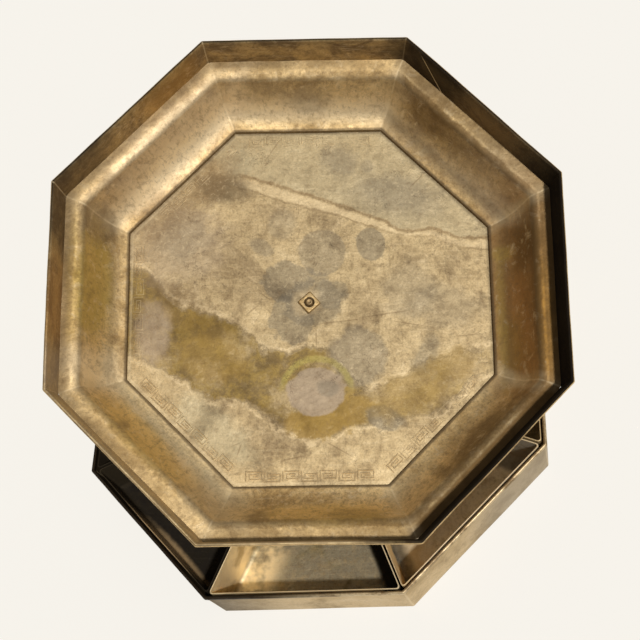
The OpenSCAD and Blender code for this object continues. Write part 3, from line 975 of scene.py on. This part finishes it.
def lathe(section, count=80):
    """Rings of a turned shape from (radius, z) points."""
    return [[Vector((r * math.cos(2 * math.pi * i / count), r * math.sin(2 * math.pi * i / count), z))
             for i in range(count)] for r, z in section]


BELLY_R, BELLY_H, TIP_R = 12.3, 9.3, 5.3  # the knob: radius and half height of its belly, radius of its tip


def make_knob():
    belly = 4 + BELLY_H
    neck = belly + BELLY_H
    tip = ROSE_END - KNOB_END - TIP_R
    section = [(7.0, 0.05), (7.1, 0.8), (6.2, 1.6), (5.2, 2.4), (5.0, 3.2)]
    section += [(BELLY_R * math.cos(a), belly + BELLY_H * math.sin(a))
                for a in (math.radians(-64 + 8 * i) for i in range(18))]
    section += [(3.9, neck + 0.4), (3.6, neck + 1.2), (4.4, neck + 1.8)]
    section += [(TIP_R * math.cos(a), tip + TIP_R * math.sin(a))
                for a in (math.radians(-40 + 10 * i) for i in range(13))]
    piece = skin("turned_knob", lathe([(r, ROSE_END - h) for r, h in section]))
    finish_piece(piece, "lid", KNOB, ["knob"], LID)


ROSE_R = 17.8


def make_rose():
    thick = -SHEET - ROSE_END
    section = [(HOLE_R, 0.0), (ROSE_R, 0.0), (ROSE_R + 0.1, 0.4), (ROSE_R, 0.9), (ROSE_R - 1, 1.4),
               (ROSE_R - 2.2, 1.7), (12.5, 2.6), (11.6, 3.3), (9.0, thick - 0.8), (8.2, thick),
               (HOLE_R, thick)]
    piece = skin("turned_rose", lathe([(r, -SHEET - h) for r, h in section]), closed=True)
    finish_piece(piece, "lid", KNOB, ["knob_rose"], LID)


THREAD_PITCH, THREAD_DEEP = 0.8, 0.35


def make_stud():
    bottom = lid_reach("knob_stud")[2]
    section = [(STUD_R - 0.7, bottom)]
    for i in range(int((STUD_TOP - bottom) / THREAD_PITCH) - 1):
        z = bottom + 0.3 + i * THREAD_PITCH
        section += [(STUD_R - THREAD_DEEP, z), (STUD_R - 0.02, z + THREAD_PITCH / 2)]
    section += [(STUD_R - THREAD_DEEP, STUD_TOP - 0.55), (STUD_R - 0.8, STUD_TOP - 0.1), (1.2, STUD_TOP),
                (0.9, STUD_TOP - 0.25)]
    piece = skin("threaded_stud", lathe(section, 40))
    finish_piece(piece, "lid", FITTING, ["knob_stud"], LID)


NUT_HALF = 5.1
NUT_FOOT = 0.02  # gap between the nut and the panel


def make_nut():
    turn = Matrix.Rotation(math.radians(NUT_TURN), 2)
    square = [turn @ Vector((x * NUT_HALF, y * NUT_HALF)) for x, y in SQUARE]
    rings = [lift(outline(square, inset, radius, 6), z) for inset, radius, z in (
        (0.25, 0.6, NUT_FOOT), (0, 0.7, NUT_FOOT + 0.4), (0, 0.7, NUT_TOP - 0.7),
        (0.2, 0.8, NUT_TOP - 0.25), (0.7, 1.0, NUT_TOP))]
    hole = STUD_R + 0.12
    for radius, z in ((hole + 0.5, NUT_TOP - 0.02), (hole, NUT_TOP - 0.45), (hole, NUT_FOOT)):
        rings.append(lift([Vector((p.x, p.y)).normalized() * radius for p in rings[4]], z))
    piece = skin("nut", rings, closed=True)
    finish_piece(piece, "lid", FITTING, ["square_nut"], LID, sharp=40)


# ---------------------------------------------------------------- the box and its dishes

BOX_WOBBLE = wobble(2, 0.22, 0.06)
BOX_SHEET = 0.9


def make_box_wall():
    lean = (WALL_TOP - WALL_FOOT) / BOX_H
    top, bead_z = BOX_H - 0.5, BAND_BOTTOM - 2.2

    def outer(z, proud=0.0):
        return (WALL_FOOT + lean * z + proud, z)
    section = [outer(0.0, -0.3)] + [outer(z) for z in (0.3, 4, 12, 20, 28)]
    # a fine raised line below the band
    section += [outer(bead_z + z, proud)
                for z, proud in ((-0.7, 0), (-0.4, 0.35), (0, 0.5), (0.4, 0.35), (0.7, 0))]
    section += [outer(BAND_BOTTOM), outer(top)]
    section += [outer(z, -BOX_SHEET) for z in (top, 30, 20, 10, 0.0)]
    piece = strip("wall", section, 1.5)
    finish_piece(piece, "box", BOX, ["box_wall"], move=lambda p: still_foot(BOX_WOBBLE, p))


def still_foot(move, p):
    """The sheet's unevenness, fading to none at the foot, so that the box stands flat."""
    shift = move(p)
    shift.z *= min(1, max(0, p.z / 10))
    return shift


def make_box_band():
    piece = strip("rim_bead", bead(RIM_FLAT, RIM_FLAT - BEAD_W, BOX_H, BAND_BOTTOM), BEAD_ROUND)
    finish_piece(piece, "box", BAND, ["box_rim_band"], move=BOX_WOBBLE)


DISH_SHEET = 0.7
DISH_FOLD = 3.0  # inner radius of the fold at the floor
DISH_BACK = 0.9  # outer radius of the fold


def make_dish(name, node, corners, body, material, seed, place=None):
    """A folded and soldered dish: sheet sides, a soft fold at the floor and a worn edge."""
    inside = [(DISH_SHEET + DISH_FOLD * (1 - math.sin(a)), DISH_SHEET + DISH_FOLD * (1 - math.cos(a)))
              for a in (math.radians(90 - 15 * i) for i in range(7))]
    outside = [(DISH_BACK * (1 - math.sin(a)), DISH_BACK * (1 - math.cos(a)))
               for a in (math.radians(30 * i) for i in range(4))]
    height = DISH_TOP - DISH_FOOT
    section = outside + [(0, height * s) for s in (0.25, 0.5, 0.75)]
    section += [(inset, height - drop) for inset, drop in (
        (0, 0.3), (0.12, 0.06), (0.35, 0), (0.58, 0.06), (DISH_SHEET, 0.3))]
    section += [(DISH_SHEET, height * s) for s in (0.75, 0.5, 0.25)] + inside
    rings = [lift(outline(corners, inset, max(0.6, 1.6 - inset * 0.4)), DISH_FOOT + z)
             for inset, z in section]
    floor = [shrink(rings[-1], s) for s in (0.93, 0.8, 0.64, 0.48, 0.32, 0.16)]
    under = [shrink(rings[0], s) for s in (0.2, 0.5, 0.8)]
    piece = skin(name, under + rings + floor)
    move = wobble(seed, 0.26, 0.07)
    finish_piece(piece, body, material, [node], place, lambda p: dish_bend(move, p))


def dish_bend(move, p):
    """Unevenness of a dish: its floor kept off the box, and its sides moved up and down less."""
    shift = move(p)
    shift.z = max(0, shift.z) if p.z < DISH_FOOT + 0.5 else shift.z * 0.6
    return shift


def make_dishes():
    def half(x):
        return x * math.tan(HALF) - (DISH_OUT * math.tan(HALF) - DISH_HALF)
    wedge = [(DISH_IN, -half(DISH_IN)), (DISH_OUT, -half(DISH_OUT)), (DISH_OUT, half(DISH_OUT)),
             (DISH_IN, half(DISH_IN))]
    for k in range(SIDES):
        name = f"side_dish_{k + 1}"
        make_dish(f"dish_{k + 1}", name, wedge, name + "_body", dish_material(k + 1), 10 + 3 * k,
                  Matrix.Rotation(k * TURN, 4, "Z"))
    make_dish("dish_middle", "centre_dish", octagon(CENTRE_FLAT), "centre_dish_body", dish_material(9), 40)


# ---------------------------------------------------------------- camera, light and floor

VIEW_AZIMUTH, VIEW_ELEVATION, VIEW_ROLL = 27.35, 58.66, -28.9
VIEW_DISTANCE = 0.74
VIEW_TARGET = (0.0302, 0.2395)  # in shares of the lid's half width, at the height of the box's rim
FOCAL = 63.0
SENSOR = 36.0


def sky(azimuth, elevation):
    """The direction towards an azimuth and elevation in degrees, from +X round."""
    az, el = math.radians(azimuth), math.radians(elevation)
    return Vector((math.cos(az) * math.cos(el), math.sin(az) * math.cos(el), math.sin(el)))


def make_camera():
    back = sky(VIEW_AZIMUTH - 90, VIEW_ELEVATION)
    target = Vector((*VIEW_TARGET, 0)) * MOUTH * MM + Vector((0, 0, BOX_H * MM))
    data = bpy.data.cameras.new("camera")
    data.lens, data.sensor_width = FOCAL, SENSOR
    camera = new_object("camera", data)
    look = (-back).to_track_quat("-Z", "Y").to_matrix().to_4x4()
    roll = Matrix.Rotation(math.radians(VIEW_ROLL), 4, "Z")
    camera.matrix_world = Matrix.Translation(target + back * VIEW_DISTANCE) @ look @ roll
    bpy.context.scene.camera = camera


SUN_AZIMUTH, SUN_ELEVATION = -42, 56
SUN_POWER, SUN_SPREAD = 2.5, 3.5
WARM_LIGHT, SKY_POWER = (1.0, 0.96, 0.90), 0.26
BACKDROP = (0.93, 0.905, 0.85)
FLOOR_COLOUR, FLOOR_GLOW = (0.20, 0.195, 0.185), 0.80
FLOOR_REACH, FLOOR_GAP = 6.0, 0.0003


def make_light():
    data = bpy.data.lights.new("key", "SUN")
    data.energy, data.angle, data.color = SUN_POWER, math.radians(SUN_SPREAD), WARM_LIGHT
    shine = -sky(SUN_AZIMUTH, SUN_ELEVATION)
    new_object("key", data).rotation_euler = shine.to_track_quat("-Z", "Y").to_euler()
    world = bpy.data.worlds.new("studio")
    bpy.context.scene.world = world
    world.use_nodes = True
    nodes, links = world.node_tree.nodes, world.node_tree.links
    nodes.clear()
    path, mixed, out = (nodes.new("ShaderNode" + kind) for kind in ("LightPath", "MixShader", "OutputWorld"))
    # rays from the camera see the backdrop, all others the dimmer light
    for socket, colour, strength in ((1, WARM_LIGHT, SKY_POWER), (2, BACKDROP, 1.0)):
        plain = nodes.new("ShaderNodeBackground")
        plain.inputs[0].default_value, plain.inputs[1].default_value = (*colour, 1), strength
        links.new(plain.outputs[0], mixed.inputs[socket])
    links.new(path.outputs["Is Camera Ray"], mixed.inputs[0])
    links.new(mixed.outputs[0], out.inputs[0])


def make_floor():
    corners = [(x * FLOOR_REACH, y * FLOOR_REACH, -FLOOR_GAP) for x, y in SQUARE]
    floor = new_mesh("floor", corners, [(0, 1, 2, 3)])
    material = bpy.data.materials.new("floor")
    material.use_nodes = True
    shader = material.node_tree.nodes["Principled BSDF"]
    shader.inputs["Base Color"].default_value = (*FLOOR_COLOUR, 1)
    shader.inputs["Roughness"].default_value = 0.9
    shader.inputs["Specular IOR Level"].default_value = 0.0
    shader.inputs["Emission Color"].default_value = (*BACKDROP, 1)
    shader.inputs["Emission Strength"].default_value = FLOOR_GLOW
    floor.data.materials.append(material)


COVE, RIM, BOX, BAND = cove_material(), rim_material(), box_material(), band_material()
PANEL, BORDER = panel_material("panel_brass", 0.0), panel_material("border_brass", 0.22)
FITTING, KNOB = fitting_material(), knob_material()
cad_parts["box_floor"].data.materials.clear()
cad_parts["box_floor"].data.materials.append(BOX)

make_camera()
make_light()
make_floor()
make_cove()
make_rim_wall()
make_rim_band()
make_panel()
make_border("border_inside", 1, 0.42, 0.8)
make_border("border_outside", -1, 0.20, 0.9)
make_knob()
make_rose()
make_stud()
make_nut()
make_box_wall()
make_box_band()
make_dishes()
bpy.context.scene.view_settings.view_transform = "Standard"
